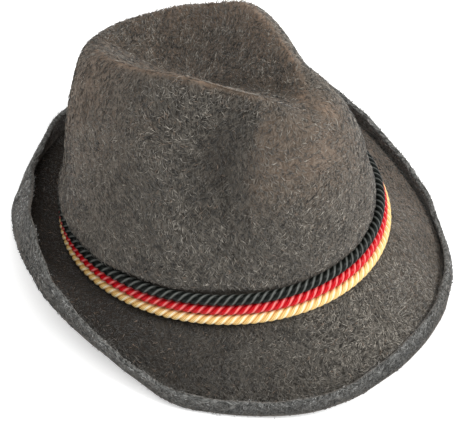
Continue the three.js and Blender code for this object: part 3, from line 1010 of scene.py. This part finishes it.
def felt_material(colours):
    """Mélange felt: dark ground and pale streaks down the slope, darkened by painted shade on the brim, in
    the groove, the pinch and the lip's fold, tan where it is worn and as painted light on the front column
    and the back of the wall, and neutral grey on the lip, with a soft sheen and a fine bump."""
    material, tree, shader = new_material("felt")
    streak, rubbed_and_lit, lip, dark = (
        add(tree, "Attribute", attribute_name=name).outputs
        for name in ("streak", "wear", "lip", "dark")
    )
    group = add(tree, "Group", node_tree=streak_group())
    hairs, cloud = feed(tree, group, {"Place": streak["Vector"]}).outputs
    # deep is the painted shade, which blends in the deep colours of the felt and of the lip
    deep = calculate(tree, "MULTIPLY", dark["Fac"], TONE["shade"], clamp=True)
    ground = blend_colour(tree, hairs, colours.felt_dark, colours.felt_light)
    ground = blend_colour(tree, deep, ground, colours.felt_deep)
    # The tan share carries worn felt and the painted light on the front column and the back of the wall
    tan_share = calculate(tree, "MULTIPLY", rubbed_and_lit["Fac"], cloud)
    tan_share = calculate(tree, "MULTIPLY", tan_share, 1.3, clamp=True)
    tanned = blend_colour(tree, tan_share, ground, colours.felt_tan)
    grey = blend_colour(tree, hairs, colours.lip_dark, colours.lip_light)
    grey = blend_colour(tree, deep, grey, colours.lip_deep)
    feed(tree, shader, {
        "Base Color": blend_colour(tree, lip["Fac"], tanned, grey),
        "Roughness": 0.95,
        "Specular IOR Level": 0.15,
        "Sheen Weight": 0.3,
        "Sheen Roughness": 0.5,
        "Sheen Tint": (1.0, 0.86, 0.74, 1),
        "Normal": bumped(tree, hairs, 0.5, 0.0004),
    })
    return material


def hair_material(name, stops):
    """Hairs: colour by their tone, a little darker at the root."""
    material, tree, shader = new_material(name)
    place = add(tree, "UVMap", uv_map="OFBake").outputs[0]
    tone, along, _ = apart(tree, place)
    ramp_node = add(tree, "ValToRGB", {0: tone})
    elements = ramp_node.color_ramp.elements
    while len(elements) < len(stops):
        elements.new(0.5)
    for element, (position, colour) in zip(elements, stops):
        element.position = position
        element.color = (*colour, 1)
    along = calculate(tree, "MULTIPLY_ADD", along, 0.5, 0.6, clamp=True)
    feed(tree, shader, {
        "Base Color": blend_colour(tree, along, (0, 0, 0), ramp_node.outputs[0]),
        "Roughness": 0.7,
        "Specular IOR Level": 0.3,
        "Sheen Weight": 0.2,
    })
    return material


def thread_group():
    """Twisted threads on a strand: a ridge for each thread from the distance to its middle, painted shade in
    a valley where the strand turns away from the outside, and a thin painted highlight at one place round
    the strand."""
    defaults = {"Along": 0.0, "Round": 0.0, "Threads": 12.0, "Line width": 0.08, "Line place": 0.43}
    group, source, result = new_group("Twisted threads", defaults, ("Relief", "Valley", "Line"))
    along, around_strand = source["Along"], source["Round"]
    slant = calculate(group, "MULTIPLY", along, -1.0)
    count = calculate(group, "MULTIPLY_ADD", around_strand, source["Threads"], slant)
    part = calculate(group, "FRACT", count)
    relief = calculate(group, "SINE", calculate(group, "MULTIPLY", part, math.pi))
    outside = calculate(group, "COSINE", calculate(group, "MULTIPLY", around_strand, FULL_TURN))
    # Painted shade in the valley where the strand turns away from the outside
    valley = calculate(group, "MULTIPLY_ADD", outside, -1.5, 1.05, clamp=True)
    # A painted highlight: a thin pale stripe at one place round each strand
    place = calculate(group, "FRACT", calculate(group, "ADD", around_strand, source["Line place"]))
    near = calculate(group, "ABSOLUTE", calculate(group, "SUBTRACT", place, 0.5))
    inside = calculate(group, "DIVIDE", near, source["Line width"])
    line = calculate(group, "SUBTRACT", 1.0, inside, clamp=True)
    feed(group, result, {"Relief": relief, "Valley": valley, "Line": line})
    return group


def cord_material(name, face, shade, line, gloss, threads, group):
    """Satin cord: threads that slant round each strand, painted shade in the valleys and between the
    threads, and a painted highlight along each strand.
    """
    material, tree, shader = new_material(name)
    along, round_strand, _ = apart(tree, add(tree, "UVMap", uv_map="strand").outputs[0])
    twist = add(tree, "Group", node_tree=group)
    feed(tree, twist, {"Along": along, "Round": round_strand, "Threads": threads})
    relief, valley, pale = twist.outputs
    # Painted shade in the valleys and between the threads, then the painted highlight on top
    body = blend_colour(tree, valley, face, shade)
    thread_shade = calculate(tree, "MULTIPLY_ADD", relief, -0.75, 0.75)
    threaded = blend_colour(tree, thread_shade, body, shade)
    feed(tree, shader, {
        "Base Color": blend_colour(tree, calculate(tree, "MULTIPLY", pale, 0.85), threaded, line),
        "Roughness": 0.36,
        "Specular IOR Level": gloss,
        "Normal": bumped(tree, relief, 0.6, 0.00012),
    })
    return material


def current_felt():
    """The felt's grids from the scene's sizes."""
    scene = bpy.context.scene
    return Felt(scene.hat_felt, scene.hat_cords)


class HAT_OT_felt_body(bpy.types.Operator):
    """Make the felt crown and brim"""

    bl_idname = "hat.felt_body"
    bl_label = "Felt body"

    def execute(self, context):
        finish = felt_material(context.scene.hat_colours)
        piece = new_object("felt", make_felt_mesh(current_felt()), finish)
        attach(piece, BODY)
        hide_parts("felt_body")
        return {"FINISHED"}


class HAT_OT_nap(bpy.types.Operator):
    """Lay the short hairs of the felt's nap"""

    bl_idname = "hat.nap"
    bl_label = "Nap"

    def execute(self, context):
        colours, felt = context.scene.hat_colours, current_felt()
        dark, light, tan = (tuple(c) for c in (colours.felt_dark, colours.felt_light, colours.felt_tan))
        pale = tuple(min(1, PALER * v) for v in light)
        stops = [(0.0, dark), (0.34, light), (TONE["palest"], pale), (0.70, light), (1.0, tan)]
        body = felt_tones(felt), hair_material("felt_nap", stops)
        stops = [(0.0, colours.lip_dark), (0.6, colours.lip_light), (1.0, colours.lip_tip)]
        lip = lip_tones(felt), hair_material("lip_nap", stops)
        brim, band, wall, crease = (felt.starts[name] for name in ("brim", "band", "wall", "crease"))
        stretches = [
            ("nap_crown", 1, 33000, (wall, crease + 1), body, 1.0, False),
            ("nap_top", 2, 13000, (crease, len(felt.top)), body, 1.0, False),
            ("nap_brim", 3, 21000, (brim + 4, band), body, 0.9, False),
            ("nap_lip", 4, 8000, (0, brim), lip, 0.6, False),
            ("nap_lip_outside", 5, 14000, (0, brim + 6), lip, 0.6, True),
        ]
        for name, seed, count, rows, (tone, finish), size, outer in stretches:
            piece = new_object(name, combed_hairs(felt, name, seed, count, rows, tone, size, outer), finish)
            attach(piece, BODY)
        return {"FINISHED"}


class HAT_OT_cord_band(bpy.types.Operator):
    """Make the three twisted cords round the crown"""

    bl_idname = "hat.cord_band"
    bl_label = "Cord band"

    def execute(self, context):
        colours, sizes = context.scene.hat_colours, context.scene.hat_cords
        felt = current_felt()
        group = thread_group()
        for level, cord in enumerate(CORDS):
            name = cord["node"] + "_twist"
            tones = (getattr(colours, cord["colour"] + part) for part in ("", "_shade", "_line"))
            finish = cord_material(cord["node"], *tones, cord["gloss"], sizes.threads, group)
            piece = new_object(name, make_cord_mesh(felt, name, level), finish)
            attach(piece, BODY)
            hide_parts(cord["node"])
        return {"FINISHED"}


def facing(place, aim, roll=0.0):
    """A matrix at a place that looks at aim with the horizon level, turned by roll degrees."""
    back = (place - aim).normalized()
    right = Vector((0, 0, 1)).cross(back)
    right = (Vector((1, 0, 0)) if right.length < 1e-6 else right).normalized()
    up = back.cross(right)
    turn = math.radians(roll)
    right, up = right * math.cos(turn) + up * math.sin(turn), up * math.cos(turn) - right * math.sin(turn)
    return Matrix.Translation(place) @ Matrix((right, up, back)).transposed().to_4x4()


def around(aim, azimuth, elevation, distance):
    """A place seen from aim at an angle round it and above the floor, in degrees."""
    a, e = math.radians(azimuth), math.radians(elevation)
    way = Vector((math.sin(a) * math.cos(e), -math.cos(a) * math.cos(e), math.sin(e)))
    return aim + way * distance


def soft_light(name, azimuth, elevation, distance, size, power):
    """A square soft light that looks at the hat."""
    aim = Vector((0, 0, 0.06))
    light = bpy.data.lights.new(name, "AREA")
    light.shape, light.size, light.energy = "SQUARE", size, power
    new_object(name, light).matrix_world = facing(around(aim, azimuth, elevation, distance), aim)


class HAT_OT_stage(bpy.types.Operator):
    """Make the floor, the lights and the camera"""

    bl_idname = "hat.stage"
    bl_label = "Stage"

    def execute(self, context):
        scene, view = context.scene, context.scene.hat_view
        mesh = bpy.data.meshes.new("floor")
        signs = ((-1, -1), (1, -1), (1, 1), (-1, 1))
        mesh.from_pydata([(x * HALF_FLOOR, y * HALF_FLOOR, 0) for x, y in signs], [], [(0, 1, 2, 3)])
        material, tree, shader = new_material("floor")
        feed(tree, shader, {
            "Base Color": (*view.floor, 1),
            "Roughness": 0.9,
            "Specular IOR Level": 0.2,
            "Emission Color": WHITE,
            "Emission Strength": view.floor_glow,
        })
        floor = new_object("floor", mesh, material)

        scene.world = bpy.data.worlds.new("even light")
        scene.world.use_nodes = True
        tree = scene.world.node_tree
        feed(tree, tree.nodes["Background"], {"Color": WHITE, "Strength": view.world})
        for name, place in LIGHTS.items():
            soft_light(name, power=getattr(view, name), **place)

        aim = Vector(view.aim)
        lens = bpy.data.cameras.new("camera")
        lens.sensor_fit, lens.sensor_width, lens.lens = "HORIZONTAL", 36, view.lens
        lens.clip_start, lens.clip_end = 0.05, 50
        scene.camera = new_object("camera", lens)
        place = around(aim, view.azimuth, view.elevation, view.distance)
        scene.camera.matrix_world = facing(place, aim, view.roll)
        scene.view_settings.view_transform = "Standard"
        return {"FINISHED"}


class HAT_PT_panel(bpy.types.Panel):
    """The hat's pieces and stage, one button each"""

    bl_label = "Tyrolean hat"
    bl_idname = "HAT_PT_panel"
    bl_space_type = "VIEW_3D"
    bl_region_type = "UI"
    bl_category = "Hat"

    def draw(self, context):
        for operator in OPERATORS:
            self.layout.operator(operator.bl_idname)


GROUPS = {
    "hat_felt": FeltSizes,
    "hat_cords": CordSizes,
    "hat_nap": NapSizes,
    "hat_colours": HatColours,
    "hat_view": HatView,
}
OPERATORS = [HAT_OT_stage, HAT_OT_felt_body, HAT_OT_nap, HAT_OT_cord_band]


def register():
    """Registers the classes and puts the property groups on the scene."""
    for kind in (*GROUPS.values(), *OPERATORS, HAT_PT_panel):
        bpy.utils.register_class(kind)
    for name, group in GROUPS.items():
        setattr(bpy.types.Scene, name, PointerProperty(type=group))


def unregister():
    """Takes the property groups and the classes away again."""
    for name in GROUPS:
        delattr(bpy.types.Scene, name)
    for kind in (HAT_PT_panel, *reversed(OPERATORS), *GROUPS.values()):
        bpy.utils.unregister_class(kind)


def main():
    """Makes the whole hat and its stage."""
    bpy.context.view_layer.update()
    register()
    bpy.ops.hat.stage()
    bpy.ops.hat.felt_body()
    bpy.ops.hat.nap()
    bpy.ops.hat.cord_band()
    bpy.context.view_layer.update()


if __name__ == "__main__":
    main()
